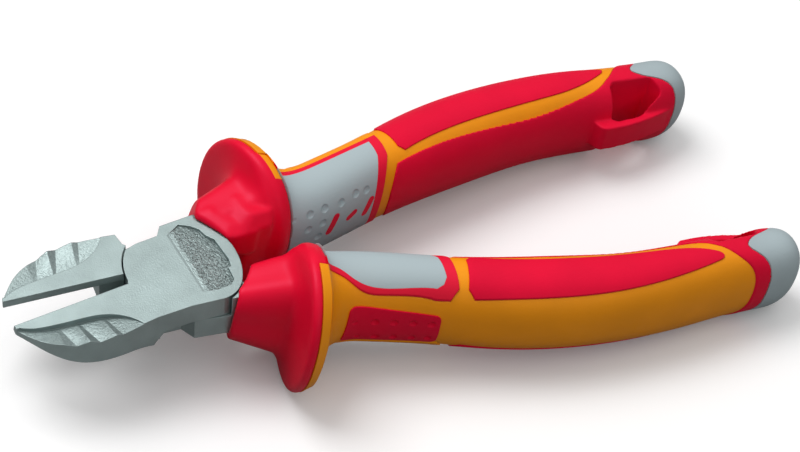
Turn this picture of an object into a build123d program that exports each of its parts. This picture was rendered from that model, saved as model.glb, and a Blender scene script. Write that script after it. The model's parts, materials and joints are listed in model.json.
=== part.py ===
"""Diagonal cutting pliers with lap-jointed steel halves and over-moulded insulated handles.

Every piece is drawn in the handle frame: the pivot is the origin, +X runs to the handle
tails, +Z is up, and +Y is the outer side of the back handle. Each half is drawn closed,
with its cutting edge on the plane y = 0, and is swung open about the pivot at the end.
The head is cranked down against the handles, so it has a plane of its own.
"""

from build123d import *
import os
from math import cos, pi, radians, sin

# ---------------------------------------------------------------- driving dimensions, mm
crank_angle = 9.48            # the head dips this much below the handles, degrees
half_opening = 4.456          # each half stands open by this much at rest, degrees
rest_tilt = 3.4               # on the table the handles slope down to their tails, degrees

plate_thickness = 5.05        # one hub plate; two of them make the head
plate_gap = 0.04              # running gap between the two plates
jaw_length = 35.0             # pivot to jaw tip
hub_radius = 11.2             # rounded front of a hub plate, under the other half's jaw
jaw_shoulder_radius = 11.5    # hollow in the jaw that the other hub plate turns in
tang_shoulder_radius = 12.95  # hollow in the tang and the hood that it turns in

edge_depth = 1.4              # cutting edge below the top face
edge_setback = 0.4            # top face stands back from the cutting edge
edge_gap = 0.05               # each edge stays this far off the middle plane
bevel_end = -16.4             # the long bevel under the edge stops here
bevel_run = 5.4               # bevel width across the jaw
bevel_drop = 4.8              # bevel height

# Lines across the serrated step, in head plan: x, distance from the cutting edge and floor
# height at the inner end, then the same at the jaw's outer wall. Crest and foot alternate.
serration_lines = (
    (-34.5, 0.8, 4.3, -35.4, 3.4, 4.3),
    (-27.9, 2.8, 3.7, -28.3, 8.2, 4.4),
    (-27.5, 2.8, 3.7, -26.2, 9.2, 4.0),
    (-24.0, 3.5, 3.65, -23.8, 9.9, 5.05),
    (-23.7, 3.5, 3.65, -22.0, 10.4, 4.3),
    (-19.3, 4.3, 3.7, -18.8, 10.7, 5.05),
    (-18.9, 4.3, 3.7, -17.5, 10.7, 4.6),
    (-14.6, 6.4, 4.2, -12.9, 10.6, 4.9),
)

rivet_radius = 4.0
rivet_head_radius = 5.2
rivet_sink = 1.2
rivet_running_gap = 0.05

section_power = 2.25          # a little squarer than an ellipse
skin_proud = 0.25             # soft inlays stand proud of the yellow core
skin_depth = 1.6              # and reach this deep into it
pad_depth = 0.9

# Handle sections: x, centre y, half width, half height, slant
neck_stations = (
    (22.4, 13.3, 12.0, 14.7, 0.17),
    (23.5, 11.8, 9.9, 12.5, 0.12),
    (25.2, 10.2, 8.1, 10.8, 0.06),
)
grip_stations = (
    (28.5, 9.4, 7.1, 9.85, 0.0),
    (34.0, 10.0, 6.9, 9.6, 0.0),
    (46.0, 12.7, 6.65, 9.75, 0.0),
    (58.0, 15.5, 7.3, 9.75, 0.0),
    (72.0, 17.6, 7.7, 9.75, 0.0),
    (86.0, 18.5, 7.15, 9.75, 0.0),
    (100.0, 17.9, 6.6, 9.7, 0.0),
    (112.0, 16.45, 6.3, 9.4, 0.0),
    (119.0, 15.95, 6.15, 9.2, 0.0),
)
tail_length = 8.3             # rounded tail beyond the last section
tail_drift = -0.3

# Tang sections inside the handle: x, centre y, centre z, width, height
tang_stations = (
    (12.0, 8.3, 0.6, 6.8, 8.8),
    (18.0, 8.6, 0.3, 6.6, 8.6),
    (28.0, 9.3, 0.0, 6.2, 8.2),
    (46.0, 12.6, 0.0, 5.6, 7.4),
    (72.0, 17.3, 0.0, 5.2, 6.6),
    (100.0, 17.9, 0.0, 4.4, 5.6),
)

# Guard: an oval flange set aslant across the handle
flange_x = 20.5
flange_y = 13.3
flange_half_width = 12.8
flange_half_height = 15.5
flange_slant = 0.17           # the outer side leans towards the jaws
flange_thickness = 1.9        # one layer; red and yellow each have one
# Hood sections in front of the flange: x, centre y, centre z, half width, half height, power
hood_stations = (
    (4.5, 8.4, 0.9, 4.1, 5.9, 6.0),
    (16.0, 9.5, 0.1, 6.3, 9.8, 4.5),
    (17.4, 10.6, 0.0, 7.8, 11.2, 3.2),
    (18.2, 12.4, 0.0, 10.9, 13.8, 2.4),
)
# Front face of each hood in plan, from its inner to its outer side, at the pivot's height.
# The one over the upper plate (+1) leans back with its height; the other one stands upright.
hood_front = {
    +1: ((8.9, -5.0), (8.1, 1.2), (6.5, 5.0), (4.8, 8.4), (4.9, 9.6), (7.0, 12.7), (9.0, 20.0)),
    -1: ((11.4, -5.0), (2.4, 25.0)),
}
hood_front_lean = {+1: 0.2, -1: 0.0}
# Shoulder of the hood that laps the rim of the upper plate, in plan: foot and top
lap_foot = ((5.6, 7.5), (7.0, 5.0), (8.6, 1.6), (11.5, 0.8), (16.2, 1.0), (16.2, 9.0), (5.6, 9.0))
lap_top = ((8.6, 7.6), (9.6, 5.8), (11.0, 3.6), (12.6, 3.0), (16.2, 3.2), (16.2, 9.0), (8.6, 9.0))
lap_heights = (1.0, 7.1, 8.3)
hood_seat_depth = 0.3         # the upper plate is stepped down where the hood covers it
hood_seat_gap = 0.12          # narrow groove between the step and the hood

dimple_radius = 1.1           # ball that presses each dimple of the grip pattern
dimple_depth = 0.45
# Dimples as x and height; the saddle pad has them on the inner side, the side pad outside
saddle_dimples = (
    (25.3, 5.9), (28.9, 5.9), (32.5, 6.0), (36.8, 5.6), (40.6, 6.0), (43.5, 5.6),
    (25.3, 1.9), (28.7, 2.4), (32.3, 2.7), (25.7, -2.1), (29.3, -3.0), (31.8, -0.8),
    (25.3, -6.2), (28.9, -6.6), (32.5, -5.0), (36.8, -5.8), (40.6, -6.0), (43.5, -5.6),
)
side_dimples = (
    (29.9, 0.5), (33.7, 0.5), (37.5, 0.5), (41.3, 0.4), (44.9, 0.3),
    (31.3, -4.2), (34.8, -4.2), (38.4, -4.2), (42.0, -4.2), (45.2, -4.2),
)
# Dotted pad on the outer side: x and height of its corners
side_pad_corners = ((28.2, 4.6), (46.6, 2.4), (47.3, -5.9), (28.2, -5.6))
# Slanted windows in the saddle pad: x, height, length, width, lean from upright
windows = ((35.0, 1.0, 5.2, 1.7, 20), (40.0, 1.0, 3.0, 1.5, 60), (44.4, 1.0, 4.8, 1.6, 20))

loop_start = 103.0            # tether loop on the inner side of the tail
loop_post_end = 106.6
loop_end = 121.5
loop_half_height = 3.1
loop_reach = 9.2              # outer face of the loop from the handle centre line
loop_tail_reach = 6.8
loop_thickness = 2.0
loop_hollow = 1.9             # bottom of the hollow under the loop, from the centre line
loop_hollow_end = 118.4
loop_block_start = 105.2      # the tail is solid soft red round the hollow
loop_block_side = 0.5

# ---------------------------------------------------------------- frames and small helpers
crank = radians(crank_angle)
head = Plane(origin=(0, 0, 0), x_dir=(cos(crank), 0, sin(crank)), z_dir=(-sin(crank), 0, cos(crank)))


def head_level(height):
    """A plane parallel to the head faces, this far above the joint between the plates."""
    return head.offset(height)


def cross_plane(x, y=0.0, z=0.0, slant=0.0):
    """A plane across the handle at (x, y, z); slant leans its outer side to the jaws."""
    return Plane(origin=(x, y, z), x_dir=(-slant, 1, 0), z_dir=(1, slant, 0))


def rounded_section(half_width, half_height, power):
    """Superellipse outline: power 2 is an ellipse, higher powers grow squarer."""
    count = 12
    points = []
    for step in range(count):
        turn = 2 * pi * step / count - pi / 2
        across, up = cos(turn), sin(turn)
        stretch = (abs(across) ** power + abs(up) ** power) ** (-1 / power)
        points.append((half_width * stretch * across, half_height * stretch * up))
    with BuildSketch() as section:
        with BuildLine():
            Spline(*points, periodic=True)
        make_face()
    return section.sketch


def between(x, column):
    """A value of the handle sections at x, on the straight between two stations."""
    for left, right in zip(grip_stations, grip_stations[1:]):
        if x <= right[0]:
            return left[column] + (x - left[0]) / (right[0] - left[0]) * (right[column] - left[column])
    return grip_stations[-1][column]


def centre_y(x):
    """Handle centre line between the sections."""
    return between(x, 1)


def dimple_balls(places, side):
    """Balls that press shallow dimples into the skin: side is +1 outside, -1 inside."""
    balls = []
    for x, height in places:
        half_width, half_height = between(x, 2) + skin_proud, between(x, 3) + skin_proud
        across = half_width * (1 - abs(height / half_height) ** section_power) ** (1 / section_power)
        if x < 28.5:
            across += 0.28 * (28.5 - x) * (0.25 if side < 0 else 1)
        with BuildPart() as ball:
            with Locations((x, centre_y(x) + side * (across + dimple_radius - dimple_depth), height)):
                Sphere(dimple_radius)
        balls.append(ball.part)
    return balls


def off_centre(*pairs):
    """Plan points given as x and distance outwards from the handle centre line."""
    return [(x, centre_y(x) + outwards) for x, outwards in pairs]


# ---------------------------------------------------------------- steel halves
def steel_half(plate_side):
    """Jaw, hub plate and tang. plate_side is +1 for the upper plate, -1 for the lower."""
    plate_near = plate_gap / 2 if plate_side > 0 else -plate_thickness
    full = 2 * plate_thickness
    # Corner of the plate in front of the hood
    if plate_side > 0:
        shoulder = ((7.0, 9.8), (0.0, 9.9), (-1.5, 7.9))
    else:
        shoulder = ((7.0, 11.4), (-0.8, 10.7), (-2.6, 7.9))

    with BuildPart() as half:
        # Jaw, plate and tang root in plan, at full head thickness
        with BuildSketch(head_level(-plate_thickness)):
            with BuildLine():
                tip = Polyline((-11.4, -edge_gap), (-jaw_length, -edge_gap), (-jaw_length + 0.1, -1.1))
                outer = Spline(tip @ 1, (-32.9, -4.1), (-30.9, -6.4), (-28.4, -8.1), (-25.0, -9.6),
                               (-20.5, -10.6), (-15.0, -10.6))
                flank = Polyline(outer @ 1, (-10.0, -10.2), (-3.0, -10.5), (3.2, -11.5))
                heel = Spline(flank @ 1, (6.9, -10.4), (9.4, -6.8), (10.45, -2.0), (10.4, 1.5))
                root = Polyline(heel @ 1, (11.2, 4.8), (13.2, 4.8), (13.2, 11.5), *shoulder,
                                (-6.0, 7.9), (-8.4, 7.4))
                crown = ThreePointArc(root @ 1, (-hub_radius * cos(0.35), hub_radius * sin(0.35)),
                                      (-hub_radius, 0.6))
                Polyline(crown @ 1, (-11.4, -edge_gap))
            make_face()
        extrude(amount=full)

        # The other plate turns in a hollow on the far side of the joint
        if plate_side > 0:
            hollow_bottom, hollow_top = -plate_thickness - 1, plate_gap / 2
            clear_of_jaw = ((-8.6, -8.0), (-8.6, -tang_shoulder_radius))
        else:
            hollow_bottom, hollow_top = -plate_gap / 2, plate_thickness + 1
            clear_of_jaw = ((-9.6, -7.5), (-10.3, -10.2), (-10.3, -tang_shoulder_radius))
        with BuildSketch(head_level(hollow_bottom)):
            Circle(jaw_shoulder_radius)
            with BuildLine():
                front = Line((0, -tang_shoulder_radius), (0, tang_shoulder_radius))
                ThreePointArc(front @ 1, (tang_shoulder_radius, 0), front @ 0)
            make_face()
            with BuildLine():
                Polyline((0, 0), *clear_of_jaw, (0, -tang_shoulder_radius), close=True)
            make_face()
        extrude(amount=hollow_top - hollow_bottom, mode=Mode.SUBTRACT)

        # The jaw thins towards its tip and ends in a ramp at the hub
        if plate_side > 0:
            underside = ((-36, 3.1), (-32, 2.2), (-28, 0.0), (-25, -1.0), (-18, -1.5), (-10.9, -2.8),
                         (-8.5, 0.1))
        else:
            underside = ((-36, 3.1), (-32, 2.2), (-28, 0.0), (-25, -1.0), (-18, -1.5), (-11.6, -2.8),
                         (-9.8, -plate_thickness - 0.1))
        side_view = Plane(origin=(0, 20, 0), x_dir=head.x_dir, z_dir=(0, -1, 0))
        with BuildSketch(side_view):
            with BuildLine():
                curve = Spline(*underside[:-1])
                Polyline(curve @ 1, underside[-1], (underside[-1][0], -8), (-36, -8), curve @ 0)
            make_face()
        extrude(amount=40, mode=Mode.SUBTRACT)

        # Long hollow bevel under the cutting edge, and the narrow land above the edge
        edge_height = plate_thickness - edge_depth
        across = Plane(origin=(head.x_dir * -36), x_dir=(0, 1, 0), z_dir=head.x_dir)
        with BuildSketch(across):
            with BuildLine():
                Polyline((2, edge_height), (-edge_gap, edge_height),
                         (-bevel_run, edge_height - bevel_drop), (-bevel_run, -8), (2, -8), close=True)
            make_face()
        extrude(amount=36 + bevel_end, mode=Mode.SUBTRACT)
        with BuildSketch(across):
            with BuildLine():
                Polyline((2, plate_thickness + 1), (-edge_setback, plate_thickness + 1),
                         (-edge_setback, plate_thickness), (-edge_gap, edge_height), (2, edge_height),
                         close=True)
            make_face()
        extrude(amount=36 - jaw_shoulder_radius, mode=Mode.SUBTRACT)

        # Serrated step on the outer top edge of the jaw: saw teeth cut aslant
        add(serrations(), mode=Mode.SUBTRACT)

        # Tang through the handle
        for x, y, z, width, height in tang_stations:
            with BuildSketch(cross_plane(x, y, z)):
                RectangleRounded(width, height, 1.6)
        loft(mode=Mode.ADD)

        # Rivet hole, and the blank sunk field on the upper face of the upper plate
        if plate_side > 0:
            add(rivet_form(0.0), mode=Mode.SUBTRACT)
            add([sunk_field(), hood_seat()], mode=Mode.SUBTRACT)
        else:
            add(rivet_form(rivet_running_gap), mode=Mode.SUBTRACT)
    return half.part


def serrations():
    """Slanted facets and steps inside the stepped edge of the jaw."""
    with BuildPart() as teeth:
        for x_in, y_in, floor_in, x_out, y_out, floor_out in serration_lines:
            inner = head.from_local_coords((x_in, -y_in, 0))
            outer = head.from_local_coords((x_out, -y_out, 0))
            across = (outer - inner).normalized()
            length = (outer - inner).length
            with BuildSketch(Plane(origin=inner, x_dir=across, z_dir=across.cross(head.z_dir))):
                with BuildLine():
                    Polyline((0, floor_in), (1.3 * length, floor_in + 1.3 * (floor_out - floor_in)),
                             (1.3 * length, plate_thickness + 2), (0, plate_thickness + 2), close=True)
                make_face()
        loft(ruled=True)
        with BuildSketch(head_level(plate_thickness - 3)):
            with BuildLine():
                inner = Spline((-34.2, -1.3), (-33.0, -2.1), (-28.5, -3.4), (-24.0, -4.1), (-20.7, -4.6),
                               (-18.2, -5.4), (-15.2, -7.4), (-13.1, -10.2))
                Polyline(inner @ 1, (-13.1, -14), (-36, -14), (-36, -1.3), inner @ 0)
            make_face()
        extrude(amount=5, mode=Mode.INTERSECT)
    return teeth.part


def rivet_form(gap):
    """Rivet with two countersunk heads, grown all round by the running gap."""
    with BuildPart() as form:
        with BuildSketch(Plane(origin=(0, 0, 0), x_dir=head.x_dir, z_dir=(0, -1, 0))):
            with BuildLine():
                Polyline((0, -plate_thickness - gap), (rivet_head_radius + gap, -plate_thickness - gap),
                         (rivet_radius + gap, -plate_thickness + rivet_sink),
                         (rivet_radius + gap, plate_thickness - rivet_sink),
                         (rivet_head_radius + gap, plate_thickness + gap), (0, plate_thickness + gap),
                         close=True)
            make_face()
        revolve(axis=Axis((0, 0, 0), head.z_dir))
    return form.part


def riveted():
    """The rivet, with its top worked down together with the sunk field."""
    with BuildPart() as rivet:
        add(rivet_form(0.0))
        add(sunk_field(), mode=Mode.SUBTRACT)
    return rivet.part


def hood_space(plate_side, shift=0.0):
    """The room in front of the hood's front face, moved along the handle by shift."""
    with BuildPart() as room:
        with BuildSketch(Plane.XY):
            with BuildLine():
                front = Polyline(*[(x + shift, y) for x, y in hood_front[plate_side]])
                Polyline(front @ 1, (-12, 25), (-12, -5), front @ 0)
            make_face()
        extrude(amount=30, dir=(hood_front_lean[plate_side], 0, 1), both=True)
    return room.part


def rim_lap():
    """Shoulder that laps the plate's rim and slopes up to the hood."""
    low, middle, high = lap_heights
    with BuildPart() as lap:
        with BuildSketch(Plane.XY.offset(low)):
            Polygon(*lap_foot, align=None)
        extrude(amount=middle - low)
        for level, outline in ((middle, lap_foot), (high, lap_top)):
            with BuildSketch(Plane.XY.offset(level)):
                Polygon(*outline, align=None)
        loft(ruled=True)
    return lap.part


def hood_seat():
    """Shallow step in the upper plate, from just in front of the hood to the tang."""
    with BuildPart() as seat:
        with BuildSketch(head_level(plate_thickness - hood_seat_depth)):
            with Locations((8, 4)):
                Rectangle(14, 17)
        extrude(amount=3)
        add(hood_space(+1, -hood_seat_gap), mode=Mode.SUBTRACT)
    return seat.part


def sunk_field():
    """Field with a stepped border, sunk to the right and running out flush to the left."""
    with BuildPart() as field:
        with BuildSketch(Plane(origin=(0, 12, 0), x_dir=head.x_dir, z_dir=(0, -1, 0))):
            with BuildLine():
                Polyline((0.2, plate_thickness), (0.2, plate_thickness + 1), (9, plate_thickness + 1),
                         (9, plate_thickness - 0.95), close=True)
            make_face()
        extrude(amount=24)
        with BuildSketch(head_level(plate_thickness - 2)):
            with BuildLine():
                border = Polyline((0.2, 7.1), (3.4, 8.7), (5.4, 7.3), (6.5, 5.9), (7.0, 3.9), (8.0, 2.4),
                                  (8.3, -3.0), (7.9, -4.9), (7.3, -5.0), (7.0, -8.0), (5.9, -9.0),
                                  (3.0, -9.0))
                Polyline(border @ 1, (0.2, -8.2), border @ 0)
            make_face()
        extrude(amount=4, mode=Mode.INTERSECT)
    return field.part


# ---------------------------------------------------------------- handle forms
def flange_layer(start, thickness, shrink, grow=0.0):
    """One oval layer of the guard flange, with its far edge drawn in by shrink."""
    with BuildPart() as layer:
        for x, less in ((start, 0.0), (start + thickness, shrink)):
            with BuildSketch(cross_plane(x, flange_y, 0, flange_slant)):
                add(rounded_section(flange_half_width - less + grow, flange_half_height - less + grow, 2.15))
        loft(ruled=True)
    return layer.part


def handle_sections(grow):
    """Sections from the flange to the rounded tail: centre, half sizes and slant of each."""
    sections = []
    for x, y, half_width, half_height, slant in neck_stations + grip_stations:
        sections.append((x, y, half_width + grow, half_height + grow, slant))
    x_last, y_last, half_width, half_height, _ = sections[-1]
    for share in (0.4, 0.65, 0.83, 0.94, 0.985):
        scale = (1 - share ** 2.6) ** (1 / 2.6)
        sections.append((x_last + share * (tail_length + grow), y_last + share * tail_drift,
                         half_width * scale, half_height * scale, 0.0))
    return sections


def handle_form(grow, until=200.0):
    """Whole handle from the flange to the tail, grown or shrunk all round."""
    with BuildPart() as form:
        for x, y, half_width, half_height, slant in handle_sections(grow):
            if x <= until:
                with BuildSketch(cross_plane(x, y, 0, slant)):
                    add(rounded_section(half_width, half_height, section_power))
        loft()
    return form.part


# ---------------------------------------------------------------- outlines of the inlays, in plan
def long_panel_outline():
    with BuildSketch() as outline:
        with BuildLine():
            outer = Spline(off_centre((52.5, 5.6), (66.0, 5.6), (79.0, 5.2), (95.0, 4.0), (106.2, 2.5)))
            tip = Spline(outer @ 1, *off_centre((107.1, 1.9)), *off_centre((106.4, 0.9)))
            inner = Spline(tip @ 1, *off_centre((103.4, -0.6), (99.0, -2.0), (90.0, -2.9), (75.0, -3.2),
                                                (54.4, -3.7)))
            left = Polyline(inner @ 1, *off_centre((53.0, -2.5), (51.4, 4.4)))
            Line(left @ 1, outer @ 0)
        make_face()
    return outline.sketch


def inner_grip_outline():
    """Inner grip and tail sleeve; its right edge is the edge of the end cap."""
    with BuildSketch() as outline:
        with BuildLine():
            top = Spline(off_centre((51.8, -4.9), (75.0, -5.4), (93.0, -4.9), (99.0, -4.1), (103.5, -2.9),
                                    (108.2, 0.3), (111.1, 3.0), (114.1, 5.2), (115.7, 8.5)))
            side = Polyline(top @ 1, *off_centre((118.6, 8.5), (118.4, 6.0)))
            cap_side = cap_edge_line(side @ 1)
            Polyline(cap_side @ 1, *off_centre((121.4, -14), (49.3, -14), (49.5, -8.0)), top @ 0)
        make_face()
    return outline.sketch


def cap_edge_line(start):
    """Edge of the end cap: a peak towards the head, then round the inner side."""
    points = off_centre((117.4, 4.4), (114.9, 2.4), (113.5, 0.8), (114.7, -0.7), (117.5, -1.9), (120.0, -3.0),
                        (121.7, -4.4), (121.4, -9.0))
    return Spline(start, *points)


def cap_outline():
    with BuildSketch() as outline:
        with BuildLine():
            corner = off_centre((118.4, 6.0))
            edge = cap_edge_line(corner[0])
            Polyline(edge @ 1, (122.0, -5), (135, -5), (135, 40), *off_centre((118.6, 20.0), (118.6, 8.5)),
                     edge @ 0)
        make_face()
    return outline.sketch


back_of_hood_x = flange_x + flange_thickness
rim_split_y = 13.2            # yellow flange outside this line, red hood inside it


def frame_outline():
    """Red frame round the thumb saddle."""
    with BuildSketch() as outline:
        with BuildLine():
            outer = Spline((back_of_hood_x, rim_split_y), (24.5, 12.0), (26.5, 12.3),
                           (29.5, 14.0), (35.0, 15.7), (45.0, 18.1))
            Polyline(outer @ 1, (47.9, 18.8), (49.5, 17.9), (49.8, 10.5), (47.6, 5.4), (47.6, -3.0),
                     (back_of_hood_x, -3.0), outer @ 0)
        make_face()
    return outline.sketch


def pad_outline():
    """Grey pad inside the frame."""
    with BuildSketch() as outline:
        with BuildLine():
            outer = Spline((back_of_hood_x, 10.9), (24.5, 10.5), (26.4, 10.9), (28.5, 12.4), (32.0, 14.2),
                           (40.0, 15.9), (45.2, 17.0))
            Polyline(outer @ 1, (46.6, 16.7), (47.4, 15.6), (47.5, 10.5), (45.7, 5.4), (45.7, -3.0),
                     (back_of_hood_x, -3.0), outer @ 0)
        make_face()
    return outline.sketch


# ---------------------------------------------------------------- handle pieces
def prism(outline, low=-30, high=30):
    """Everything above and below an outline drawn in plan."""
    with BuildPart() as block:
        with BuildSketch(Plane.XY.offset(low)):
            add(outline)
        extrude(amount=high - low)
    return block.part


def skin(outline, shell, low=-30, high=30):
    """The part of the handle's skin that lies inside an outline drawn in plan."""
    with BuildPart() as piece:
        add(prism(outline, low, high))
        add(shell, mode=Mode.INTERSECT)
    return piece.part


def shell_form(proud, depth):
    """Skin of the handle from proud of the core's surface down to a depth below it."""
    with BuildPart() as shell:
        add(handle_form(proud))
        add(handle_form(-depth, until=119.5), mode=Mode.SUBTRACT)
    return shell.part


def guard_hood(steel, plate_side):
    """Hood round the tang root with its flange; it leaves room for the other plate."""
    with BuildPart() as hood:
        for x, y, z, half_width, half_height, power in hood_stations[:2]:
            with BuildSketch(cross_plane(x, y, z)):
                add(rounded_section(half_width, half_height, power))
        loft(ruled=True)
        flare = hood_stations[1:] + ((flange_x - flange_thickness, flange_y, 0.0, flange_half_width - 0.5,
                                      flange_half_height - 0.5, 2.15),)
        for x, y, z, half_width, half_height, power in flare:
            with BuildSketch(cross_plane(x, y, z, flange_slant * (x - 16.0) / 2.6)):
                add(rounded_section(half_width, half_height, power))
        loft()
        add(flange_layer(flange_x - flange_thickness, 0.7, -0.5, -0.5))
        add(flange_layer(flange_x - flange_thickness + 0.7, flange_thickness - 0.7, 0.0))
        add(half_layer(outer=False))
        if plate_side > 0:
            add(rim_lap())
        add(hood_space(plate_side), mode=Mode.SUBTRACT)
        # Room for the other half's hub plate, open towards its own face
        low = -15 if plate_side > 0 else -plate_gap
        high = plate_gap if plate_side > 0 else 15
        with BuildSketch(head_level(low)):
            Circle(tang_shoulder_radius)
        extrude(amount=high - low, mode=Mode.SUBTRACT)
        add(steel, mode=Mode.SUBTRACT)
    return hood.part


def half_layer(outer):
    """The rear flange layer on one side only: yellow outside, red inside."""
    with BuildPart() as half:
        add(flange_layer(flange_x, flange_thickness, 0.7))
        with BuildSketch(Plane.XY.offset(-20)):
            with Locations((20, rim_split_y - 20 if outer else rim_split_y + 20)):
                Rectangle(40, 40)
        extrude(amount=40, mode=Mode.SUBTRACT)
    return half.part


def side_block():
    """Room for the dotted pad on the outer side."""
    with BuildPart() as block:
        with BuildSketch(Plane(origin=(0, 12.5, 0), x_dir=(1, 0, 0), z_dir=(0, 1, 0))) as corners:
            with BuildLine():
                Polyline(*[(x, -height) for x, height in side_pad_corners], close=True)
            make_face()
            fillet(corners.vertices(), 1.2)
        extrude(amount=15)
    return block.part


def side_pad(shell):
    """Dotted pad on the outer side."""
    with BuildPart() as piece:
        add(side_block())
        add(shell, mode=Mode.INTERSECT)
    return piece.part


def saddle_frame(shell, pad):
    with BuildPart() as piece:
        add(skin(frame_outline(), shell))
        add([pad, side_block()], mode=Mode.SUBTRACT)
    return piece.part


def saddle_pad(shell):
    """Grey pad with three small windows on its inner side."""
    with BuildPart() as piece:
        add(skin(pad_outline(), shell))
        for x, height, length, width, lean in windows:
            with BuildSketch(Plane(origin=(x, 9, height), x_dir=(1, 0, 0), z_dir=(0, -1, 0))):
                SlotOverall(length, width, rotation=90 - lean)
            extrude(amount=20, mode=Mode.SUBTRACT)
        add(side_block(), mode=Mode.SUBTRACT)
    return piece.part


def dimpled(plain, places, side):
    """A pad with its grip pattern pressed in."""
    with BuildPart() as pad:
        add(plain)
        add(dimple_balls(places, side), mode=Mode.SUBTRACT)
    return pad.part


def loop_block():
    """Inner part of the tail, in plan, that is solid soft red round the loop's hollow."""
    with BuildPart() as block:
        with BuildSketch(Plane.XY.offset(-30)):
            with BuildLine():
                Polyline(*off_centre((loop_block_start, -loop_block_side - 1.5),
                                     (loop_block_start + 2, -loop_block_side), (119.0, -loop_block_side),
                                     (119.0, -14), (loop_block_start, -14)), close=True)
            make_face()
        extrude(amount=60)
        add(prism(cap_outline()), mode=Mode.SUBTRACT)
    return block.part


def inner_grip(shell, tail):
    """Inner grip, tail sleeve and tether loop in one."""
    with BuildPart() as piece:
        add(skin(inner_grip_outline(), shell))
        add(tail)
        with BuildSketch(Plane.XY):
            with BuildLine():
                root = off_centre((loop_start - 1.2, -5.5), (loop_start, -loop_reach + 0.6),
                                  (loop_start + 0.9, -loop_reach))
                face = Polyline(*root, *off_centre((loop_post_end + 1, -loop_reach + 0.2)))
                bow = Spline(face @ 1, *off_centre((115.5, -7.7), (loop_end, -loop_tail_reach + 0.6)))
                Polyline(bow @ 1, *off_centre((loop_end, -5.0)), root[0])
            make_face()
        extrude(amount=loop_half_height, both=True)
        add(loop_hollow_form(), mode=Mode.SUBTRACT)
    return piece.part


def loop_hollow_form():
    """Slot through the handle edge behind the tether loop."""
    with BuildPart() as slot:
        with BuildSketch(Plane.XY):
            with BuildLine():
                near = loop_reach - loop_thickness
                Polyline(*off_centre((loop_post_end, -loop_hollow - 0.8),
                                     (loop_post_end + 1.0, -loop_hollow),
                                     (loop_hollow_end - 1.6, -loop_hollow),
                                     (loop_hollow_end, -loop_hollow - 2.6),
                                     (loop_hollow_end - 0.6, -loop_tail_reach + loop_thickness - 0.2),
                                     (loop_post_end + 6.2, -near + 0.5), (loop_post_end + 1.2, -near),
                                     (loop_post_end, -near + 0.6)), close=True)
            make_face()
        extrude(amount=30, both=True)
    return slot.part


def skin_block():
    """The handle's tail inside the loop block, up to the surface of the inlays."""
    with BuildPart() as block:
        add(handle_form(skin_proud))
        add(loop_block(), mode=Mode.INTERSECT)
    return block.part


def pocketed_core():
    """Yellow core with its flange layer and a pocket for every inlay."""
    with BuildPart() as core:
        add(handle_form(0.0))
        add([prism(frame_outline()), prism(long_panel_outline()), prism(inner_grip_outline()),
             prism(cap_outline()), side_block()], mode=Mode.SUBTRACT)
        add(handle_form(-skin_depth, until=119.5))
        add(half_layer(outer=True))
        add(loop_block(), mode=Mode.SUBTRACT)
    return core.part


def handle_core(core, steel):
    """The core with the tang's way through it."""
    with BuildPart() as bored:
        add(core)
        add(steel, mode=Mode.SUBTRACT)
    return bored.part


# ---------------------------------------------------------------- build the closed halves
upper_steel = steel_half(+1)
lower_steel = steel_half(-1)
deep_shell = shell_form(skin_proud, skin_depth)
tail_block = skin_block()
pad_skin = saddle_pad(shell_form(skin_proud, pad_depth))
inlays = {
    "saddle_frame": saddle_frame(deep_shell, pad_skin),
    "saddle_pad": dimpled(pad_skin, saddle_dimples, -1),
    "side_pad": dimpled(side_pad(deep_shell), side_dimples, +1),
    "top_panel": skin(long_panel_outline(), deep_shell, low=0),
    "bottom_panel": skin(long_panel_outline(), deep_shell, high=0),
    "inner_grip": inner_grip(deep_shell, tail_block),
    "end_cap": skin(cap_outline(), deep_shell),
}
core = pocketed_core()


# ---------------------------------------------------------------- swing open and lay on the table
def turned(about_y=0.0, about_z=0.0):
    return Location((0, 0, 0), (0, about_y, about_z))


swing = {
    "back": turned(-crank_angle) * turned(about_z=half_opening) * turned(crank_angle),
    "front": turned(-crank_angle) * turned(about_z=-half_opening) * turned(crank_angle),
}


def placed(shape, side, table):
    """Back pieces swing outwards; front pieces are mirror images and swing the other way."""
    with BuildPart() as closed:
        if side == "back":
            add(shape)
        else:
            mirror(shape, about=Plane.XZ)
    with BuildPart() as piece:
        with Locations(table * swing[side]):
            add(closed.part)
    return piece


closed_pieces = {
    "upper_jaw_half": ("back", upper_steel),
    "lower_jaw_half": ("front", lower_steel),
    "pivot_rivet": ("back", riveted()),
}
for side, steel, plate_side in (("back", upper_steel, +1), ("front", lower_steel, -1)):
    closed_pieces[side + "_guard_hood"] = (side, guard_hood(steel, plate_side))
    closed_pieces[side + "_handle_core"] = (side, handle_core(core, steel))
    for name, inlay in inlays.items():
        closed_pieces[side + "_" + name] = (side, inlay)

# The tool rests on its two flanges and its tails
resting = Compound([placed(shape, side, turned(rest_tilt)).part for side, shape in closed_pieces.values()])
box = resting.bounding_box()
on_table = Location((-(box.min.X + box.max.X) / 2, 0, -box.min.Z)) * turned(rest_tilt)

os.makedirs("parts", exist_ok=True)
for name, (side, shape) in closed_pieces.items():
    piece = placed(shape, side, on_table)
    piece.part.label = name
    export_step(piece.part, "parts/" + name + ".step")

pivot = on_table.position
pivot_axis = (on_table * Location(head)).z_axis.direction
print("pivot", tuple(round(value, 4) for value in pivot))
print("axis", tuple(round(value, 6) for value in pivot_axis))
print("box", box.size)
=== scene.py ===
"""Looks of the diagonal cutting pliers: materials, small mould details, light and camera."""
import json
import math

import bpy
from mathutils import Matrix, Vector


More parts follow.
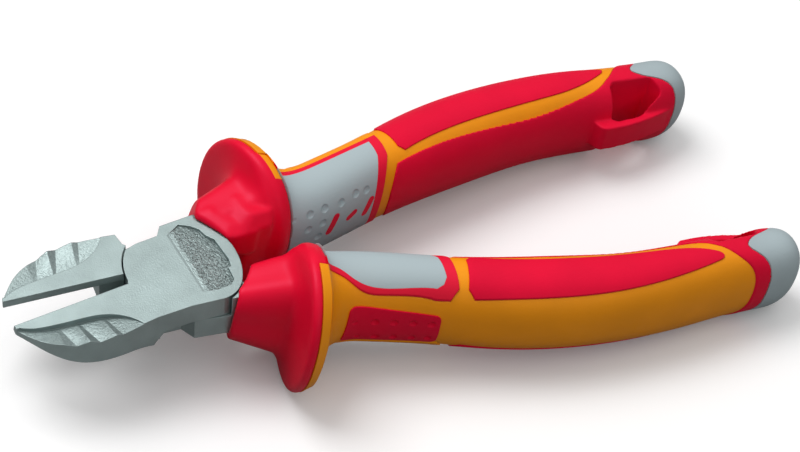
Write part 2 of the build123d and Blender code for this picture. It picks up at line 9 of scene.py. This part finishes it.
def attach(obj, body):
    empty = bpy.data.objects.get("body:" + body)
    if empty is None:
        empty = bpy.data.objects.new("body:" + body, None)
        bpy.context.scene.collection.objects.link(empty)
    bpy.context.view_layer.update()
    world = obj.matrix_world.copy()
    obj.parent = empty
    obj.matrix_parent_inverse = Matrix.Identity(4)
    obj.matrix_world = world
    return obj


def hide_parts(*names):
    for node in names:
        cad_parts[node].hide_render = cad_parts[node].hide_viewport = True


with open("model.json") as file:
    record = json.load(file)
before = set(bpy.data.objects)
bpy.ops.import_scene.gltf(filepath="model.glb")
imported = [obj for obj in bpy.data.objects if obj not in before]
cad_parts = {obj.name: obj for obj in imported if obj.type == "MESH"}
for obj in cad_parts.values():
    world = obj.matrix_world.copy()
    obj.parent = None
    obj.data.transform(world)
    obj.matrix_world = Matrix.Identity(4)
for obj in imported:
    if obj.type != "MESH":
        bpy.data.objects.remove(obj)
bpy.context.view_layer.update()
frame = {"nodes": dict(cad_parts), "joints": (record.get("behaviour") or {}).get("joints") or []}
nodes = frame["nodes"]
scene = bpy.context.scene

# ------------------------------------------------------------------ the tool's own frame
# The handles are drawn closed, with the pivot at the origin; these turn such a place into the shared frame.
MM = 0.001
CRANK = math.radians(9.48)
HALF_OPENING = math.radians(4.456)
REST_TILT = math.radians(3.4)
PIVOT = Vector(frame["joints"][0]["pos_m"])


def rotation(angle, axis):
    return Matrix.Rotation(angle, 4, axis)


def placing(side):
    """From closed handle coordinates in millimetres to the shared frame in metres."""
    opening = HALF_OPENING if side == "back" else -HALF_OPENING
    mirror = Matrix.Diagonal((1, 1 if side == "back" else -1, 1, 1))
    swung = rotation(-CRANK, "Y") @ rotation(opening, "Z") @ rotation(CRANK, "Y")
    return Matrix.Translation(PIVOT) @ rotation(REST_TILT, "Y") @ swung @ mirror @ Matrix.Scale(MM, 4)


BODY = {"back": "upper_half", "front": "lower_half"}

HEAD_NORMAL = Vector(frame["joints"][0]["axis"]).normalized()
if HEAD_NORMAL.z < 0:
    HEAD_NORMAL.negate()

FLOOR_GLOW = 0.06             # emission of the floor where the camera sees it
HORIZON_LIGHT = 0.05
CEILING_LIGHT = 0.80
GLOSSY_FLOOR = 0.30           # how much of the white floor the metal shows

STEEL_COLOUR = (0.355, 0.435, 0.43)
HOOD_COLOUR = (0.86, 0.002, 0.03)
SOFT_COLOUR = (0.84, 0.002, 0.035)
CORE_COLOUR = (1.0, 0.34, 0.002)
GREY_COLOUR = (0.42, 0.50, 0.525)
ROSY = (1.0, 0.45, 0.75)      # tint of the highlights on the reds


# ------------------------------------------------------------------ materials
class Nodes:
    """Short way to build a node tree."""

    def __init__(self, name):
        self.material = bpy.data.materials.new(name)
        self.material.use_nodes = True
        self.tree = self.material.node_tree
        self.shader = self.tree.nodes["Principled BSDF"]

    def add(self, kind, inputs=(), **settings):
        node = self.tree.nodes.new(kind)
        for key, value in settings.items():
            setattr(node, key, value)
        for key, value in dict(inputs).items():
            if isinstance(value, bpy.types.NodeSocket):
                self.tree.links.new(value, node.inputs[key])
            else:
                node.inputs[key].default_value = value
        return node

    def link(self, source, target):
        self.tree.links.new(source, target)

    def place(self):
        return self.add("ShaderNodeTexCoord").outputs["Object"]

    def noise(self, size, detail=3.0, roughness=0.5):
        """Noise with a grain of about this size in metres."""
        inputs = {"Vector": self.place(), "Scale": 1.0 / size, "Detail": detail, "Roughness": roughness}
        return self.add("ShaderNodeTexNoise", inputs).outputs["Fac"]

    def ramp(self, source, stops):
        node = self.add("ShaderNodeValToRGB", {"Fac": source})
        ramp = node.color_ramp
        ramp.elements[0].position, ramp.elements[0].color = stops[0]
        ramp.elements[1].position, ramp.elements[1].color = stops[-1]
        for position, colour in stops[1:-1]:
            ramp.elements.new(position).color = colour
        return node.outputs["Color"]

    def step(self, source, start, end):
        """0 before start, 1 after end; end may lie below start."""
        return self.add("ShaderNodeMapRange", {"Value": source, "From Min": start, "From Max": end,
                                               "To Min": 0.0, "To Max": 1.0}).outputs["Result"]

    def along(self, vector, direction):
        return self.add("ShaderNodeVectorMath", {0: vector, 1: tuple(direction)},
                        operation="DOT_PRODUCT").outputs["Value"]

    def from_pivot(self):
        """Vector from the pivot to the point, in the piece's own frame."""
        inputs = {0: self.place(), 1: tuple(PIVOT)}
        return self.add("ShaderNodeVectorMath", inputs, operation="SUBTRACT").outputs["Vector"]

    def product(self, first, second):
        return self.add("ShaderNodeMath", {0: first, 1: second}, operation="MULTIPLY").outputs["Value"]

    def mixed(self, factor, first, second):
        """The first colour where factor is 0 and the second where it is 1."""
        mix = self.add("ShaderNodeMix", data_type="RGBA")
        for socket, value in (("Factor", factor), ("A", first), ("B", second)):
            if isinstance(value, bpy.types.NodeSocket):
                self.link(value, mix.inputs[socket])
            else:
                mix.inputs[socket].default_value = value
        return mix.outputs["Result"]

    def soft_edge(self, radius):
        """Normal that rounds sharp edges by about this radius."""
        return self.add("ShaderNodeBevel", {"Radius": radius}, samples=6).outputs["Normal"]

    def span(self, source, low, high):
        inputs = {"Value": source, "To Min": low, "To Max": high}
        return self.add("ShaderNodeMapRange", inputs).outputs["Result"]

    def bump(self, height, strength, distance, onto=None):
        inputs = {"Height": height, "Strength": strength, "Distance": distance}
        if onto is not None:
            inputs["Normal"] = onto
        return self.add("ShaderNodeBump", inputs).outputs["Normal"]


def rgba(red, green, blue):
    return (red, green, blue, 1.0)


def closed_place(n, side):
    """The handle's own x and y, in metres from the pivot, and its height, at a point of the piece."""
    axes = placing(side).to_3x3() @ Matrix.Scale(1 / MM, 3)
    lifted = n.from_pivot()
    return [n.along(lifted, axes.col[column]) for column in range(3)]


def moulded(name, colour, roughness, grain, grain_depth, edge, specular=0.25, tint=(1, 1, 1), rim=None):
    """Moulded plastic or soft rubber: slightly mottled, with a fine spark-eroded grain and soft edges."""
    n = Nodes(name)
    dark = tuple(0.9 * c for c in colour)
    shown = n.ramp(n.noise(0.012, 4.0), ((0.3, rgba(*dark)), (0.7, rgba(*colour))))
    if rim:
        # The core's yellow goes round the upper half of the slanted rear edge, as far as the inner side
        x, y, z = closed_place(n, "back")
        slanted = n.add("ShaderNodeMath", {0: y, 1: 0.17, 2: x}, operation="MULTIPLY_ADD").outputs["Value"]
        upper = n.product(n.step(y, 7.2 * MM, 7.3 * MM), n.step(z, 0.0, 0.1 * MM))
        shown = n.mixed(n.product(upper, n.step(slanted, 22.75 * MM, 22.80 * MM)), shown, rgba(*rim))
    n.link(shown, n.shader.inputs["Base Color"])
    n.link(n.span(n.noise(0.004, 3.0), roughness - 0.04, roughness + 0.06), n.shader.inputs["Roughness"])
    n.link(n.bump(n.noise(grain, 2.0), 0.4, grain_depth, n.soft_edge(edge)), n.shader.inputs["Normal"])
    n.shader.inputs["Specular IOR Level"].default_value = specular
    n.shader.inputs["Specular Tint"].default_value = rgba(*tint)
    return n.material


def blasted_steel(name, colour, roughness):
    """Glass-bead blasted steel; sunk upward faces keep a coarse, dark-specked forging skin."""
    n = Nodes(name)
    dark = tuple(0.8 * c for c in colour)
    speck = tuple(0.28 * c for c in colour)
    plain = n.ramp(n.noise(0.006, 5.0, 0.6), ((0.3, rgba(*dark)), (0.7, rgba(*colour))))
    # Height over the joint plane and upward facing
    lifted = n.from_pivot()
    height = n.along(lifted, HEAD_NORMAL)
    facing = n.along(n.add("ShaderNodeTexCoord").outputs["Normal"], HEAD_NORMAL)
    sunk = n.product(n.step(height, 3.0 * MM, 3.2 * MM), n.step(height, 5.0 * MM, 4.9 * MM))
    sunk = n.product(sunk, n.step(facing, 0.75, 0.85))
    # Full strength round the rivet, faint on the serrated steps of the jaws
    strength = n.add("ShaderNodeMapRange", {
        "Value": n.add("ShaderNodeSeparateXYZ", {0: lifted}).outputs["X"],
        "From Min": -8.0 * MM, "From Max": -7.5 * MM, "To Min": 0.35, "To Max": 1.0})
    forged = n.product(sunk, strength.outputs["Result"])
    specks = n.ramp(n.noise(0.00035, 3.0, 0.7),
                    ((0.36, rgba(*speck)), (0.52, rgba(*dark)), (0.75, rgba(*colour))))
    n.link(n.mixed(forged, plain, specks), n.shader.inputs["Base Color"])
    n.link(n.span(n.noise(0.0015, 3.0), roughness - 0.06, roughness + 0.08), n.shader.inputs["Roughness"])
    # The edge of the rivet is ground flush with the plates, so no rounding shows there
    spoke = n.add("ShaderNodeVectorMath", {0: lifted, 1: tuple(HEAD_NORMAL)}, operation="CROSS_PRODUCT")
    radius = n.add("ShaderNodeVectorMath", {0: spoke.outputs["Vector"]}, operation="LENGTH").outputs["Value"]
    edges = n.add("ShaderNodeMix", data_type="VECTOR")
    flat_rivet = n.product(n.step(radius, 6.3 * MM, 6.2 * MM), n.step(facing, 0.97, 0.98))
    n.link(flat_rivet, edges.inputs["Factor"])
    n.link(n.soft_edge(0.00018), edges.inputs["A"])
    n.link(n.add("ShaderNodeNewGeometry").outputs["Normal"], edges.inputs["B"])
    fine = n.bump(n.noise(0.00030, 3.0), 0.5, 0.00007, edges.outputs["Result"])
    coarse = n.bump(n.product(n.noise(0.0006, 3.0, 0.6), forged), 0.8, 0.00035, fine)
    n.link(coarse, n.shader.inputs["Normal"])
    n.shader.inputs["Metallic"].default_value = 0.85
    return n.material


def saddle_look(name, side, colour, roughness):
    """The saddle's grey, red and yellow fields, which meet nearer its ridge on the face that is turned up."""
    n = Nodes(name)
    x, y, z = closed_place(n, side)
    centre = n.add("ShaderNodeMath", {0: x, 1: 0.20, 2: 3.5 * MM}, operation="MULTIPLY_ADD").outputs["Value"]
    outward = n.add("ShaderNodeMath", {0: y, 1: centre}, operation="SUBTRACT").outputs["Value"]
    up = 1 if side == "back" else -1
    face = n.step(z, up * 2.9 * MM, up * 3.1 * MM)
    shown = rgba(*colour)
    for border, beyond in ((1.3 * MM, SOFT_COLOUR), (2.5 * MM, CORE_COLOUR)):
        factor = n.product(n.step(outward, border - 0.04 * MM, border + 0.04 * MM), face)
        shown = n.mixed(factor, shown, rgba(*beyond))
    n.link(shown, n.shader.inputs["Base Color"])
    n.link(n.span(n.noise(0.004, 3.0), roughness - 0.04, roughness + 0.06), n.shader.inputs["Roughness"])
    n.link(n.bump(n.noise(0.0005, 2.0), 0.4, 0.00006, n.soft_edge(0.0002)), n.shader.inputs["Normal"])
    n.shader.inputs["Specular IOR Level"].default_value = 0.25
    return n.material


STEEL = blasted_steel("steel_blasted", STEEL_COLOUR, 0.45)
RED = moulded("hood_red", HOOD_COLOUR, 0.42, 0.0006, 0.00004, 0.0005, 0.3, ROSY)
RIMMED_RED = moulded("hood_red_with_rim", HOOD_COLOUR, 0.42, 0.0006, 0.00004, 0.0005, 0.3, ROSY, CORE_COLOUR)
SOFT_RED = moulded("soft_red", SOFT_COLOUR, 0.52, 0.0005, 0.00006, 0.0002, 0.25, ROSY)
YELLOW = moulded("core_yellow", CORE_COLOUR, 0.46, 0.0006, 0.00004, 0.0003)
GREY = moulded("soft_grey", GREY_COLOUR, 0.55, 0.0005, 0.00006, 0.0002)

# Looks by the name of a piece, first with its side and then without it
LOOK = {
    "upper_jaw_half": STEEL, "lower_jaw_half": STEEL, "pivot_rivet": STEEL,
    "back_guard_hood": RIMMED_RED, "guard_hood": RED, "handle_core": YELLOW, "side_pad": SOFT_RED,
    "top_panel": SOFT_RED, "bottom_panel": SOFT_RED, "inner_grip": SOFT_RED, "end_cap": GREY,
}
for side in BODY:
    for piece, colour in (("_saddle_pad", GREY_COLOUR), ("_saddle_frame", SOFT_COLOUR)):
        LOOK[side + piece] = saddle_look(side + piece, side, colour, 0.54)
for node_name, node in nodes.items():
    look = LOOK.get(node_name) or LOOK[node_name.removeprefix("back_").removeprefix("front_")]
    node.data.materials.clear()
    node.data.materials.append(look)


# ------------------------------------------------------------------ softly rounded mouldings
def stack(side, *rings):
    """A closed solid through rings of points in closed handle millimetres, lowest ring first."""
    count = len(rings[0])
    faces = [tuple(reversed(range(count))), tuple(range(count * (len(rings) - 1), count * len(rings)))]
    for level in range(len(rings) - 1):
        for step in range(count):
            here, there = level * count + step, level * count + (step + 1) % count
            faces.append((here, there, there + count, here + count))
    mesh = bpy.data.meshes.new("stack")
    mesh.from_pydata([point for ring in rings for point in ring], [], faces)
    mesh.transform(placing(side))
    piece = bpy.data.objects.new("stack", mesh)
    scene.collection.objects.link(piece)
    return piece


def remeshed(piece, voxel):
    change = piece.modifiers.new("remesh", "REMESH")
    change.mode = "VOXEL"
    change.voxel_size = voxel
    change.use_smooth_shade = True


def softened(name, voxel, rounds, fillers=()):
    """A copy of a CAD node whose sharp edges are rounded as in a mould, shown in the node's place."""
    piece = bpy.data.objects.new(name + "_moulding", nodes[name].data.copy())
    scene.collection.objects.link(piece)
    remeshed(piece, voxel)
    for filler in fillers:
        change = piece.modifiers.new("fill", "BOOLEAN")
        change.object = filler
        change.operation = "UNION"
        remeshed(piece, voxel)
    change = piece.modifiers.new("smooth", "SMOOTH")
    change.factor = 0.5
    change.iterations = rounds
    depsgraph = bpy.context.evaluated_depsgraph_get()
    shaped = bpy.data.meshes.new_from_object(piece.evaluated_get(depsgraph))
    piece.modifiers.clear()
    piece.data = shaped
    for filler in fillers:
        bpy.data.objects.remove(filler)
    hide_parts(name)
    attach(piece, BODY[name.split("_")[0]])


def ring(outline, height):
    return [(x, y, height) for x, y in outline]


# The back hood rises in one slope from the plate's rim to its flange, and its inner side runs on below
shoulder_foot = ((9.0, 7.8), (9.8, 5.0), (10.6, 3.0), (11.6, 1.6),
                 (13.0, 1.1), (19.5, 1.6), (20.2, 9.0), (9.0, 9.0))
shoulder_top = ((14.2, 7.8), (14.3, 6.2), (14.5, 4.6), (14.9, 3.7),
                (15.6, 3.3), (19.5, 3.4), (20.2, 9.0), (14.2, 9.0))
flank = ((13.5, 9.0), (13.5, 2.0), (14.5, 1.3), (19.5, 1.7), (20.2, 9.0))
shoulder = stack("back", ring(shoulder_foot, 1.0), ring(shoulder_foot, 7.2), ring(shoulder_top, 9.7))
inner_flank = stack("back", ring(flank, -8.2), ring(flank, 1.6))
softened("back_guard_hood", 0.00025, 26, (shoulder, inner_flank))
softened("front_guard_hood", 0.00025, 26)
for side in BODY:
    softened(side + "_inner_grip", 0.00021, 14)

# ------------------------------------------------------------------ floor, light and camera
# The floor is white where the camera sees it and throws little light up
floor_look = Nodes("pale_floor")
rays = floor_look.add("ShaderNodeLightPath")
mirrored = floor_look.span(rays.outputs["Is Glossy Ray"], 0.0, GLOSSY_FLOOR)
seen = floor_look.add("ShaderNodeMath", {0: rays.outputs["Is Camera Ray"], 1: mirrored}, operation="MAXIMUM")
seen = seen.outputs["Value"]
floor_look.shader.inputs["Roughness"].default_value = 0.9
floor_look.shader.inputs["Specular IOR Level"].default_value = 0.1
floor_look.link(floor_look.ramp(seen, ((0.0, rgba(0.15, 0.155, 0.155)), (1.0, rgba(0.97, 0.97, 0.97)))),
                floor_look.shader.inputs["Base Color"])
floor_look.shader.inputs["Emission Color"].default_value = rgba(1, 1, 1)
floor_look.link(floor_look.span(rays.outputs["Is Camera Ray"], 0.0, FLOOR_GLOW),
                floor_look.shader.inputs["Emission Strength"])
bpy.ops.mesh.primitive_plane_add(size=60, location=(0, 0, -0.0002))
floor = bpy.context.object
floor.name = "floor"
floor.data.materials.append(floor_look.material)

# A bright ceiling that falls off towards the horizon
world = bpy.data.worlds.new("studio")
scene.world = world
world.use_nodes = True
sky = world.node_tree
direction = sky.nodes.new("ShaderNodeTexCoord").outputs["Generated"]
height = sky.nodes.new("ShaderNodeSeparateXYZ")
sky.links.new(direction, height.inputs[0])
falloff = sky.nodes.new("ShaderNodeMapRange")
falloff.inputs["From Min"].default_value = 0.05
falloff.inputs["From Max"].default_value = 0.9
falloff.inputs["To Min"].default_value = HORIZON_LIGHT
falloff.inputs["To Max"].default_value = CEILING_LIGHT
sky.links.new(height.outputs["Z"], falloff.inputs["Value"])
shown = sky.nodes.new("ShaderNodeMath")
shown.operation = "MAXIMUM"
sky.links.new(sky.nodes.new("ShaderNodeLightPath").outputs["Is Camera Ray"], shown.inputs[0])
sky.links.new(falloff.outputs["Result"], shown.inputs[1])
sky.links.new(shown.outputs["Value"], sky.nodes["Background"].inputs["Strength"])
sky.nodes["Background"].inputs["Color"].default_value = rgba(1, 1, 1)


def softbox(name, place, aim, size, power):
    light = bpy.data.objects.new(name, bpy.data.lights.new(name, "AREA"))
    light.data.shape = "RECTANGLE"
    light.data.size, light.data.size_y = size
    light.data.energy = power
    light.location = place
    light.rotation_euler = (Vector(aim) - Vector(place)).to_track_quat("-Z", "Y").to_euler()
    scene.collection.objects.link(light)


softbox("key", (-0.25, 0.30, 0.75), (0, 0, 0), (0.45, 0.45), 3.9)
softbox("fill", (0.1, -0.7, 0.25), (0, 0, 0), (0.7, 0.3), 0.40)

camera = bpy.data.objects.new("camera", bpy.data.cameras.new("camera"))
scene.collection.objects.link(camera)
camera.data.lens = 137.2
camera.data.sensor_width = 36
camera.data.clip_start = 0.05
right = Vector((0.89581171, -0.41386602, 0.16197625))
up = Vector((0.20373639, 0.70631637, 0.67794445))
back = Vector((-0.39498465, -0.57431011, 0.71704604))
camera_place = PIVOT + Vector((-0.190955, -0.34512, 0.431845))    # fitted to the view, lens and axes too
camera.matrix_world = Matrix.Translation(camera_place) @ Matrix((right, up, back)).transposed().to_4x4()
scene.camera = camera
scene.view_settings.view_transform = "Standard"
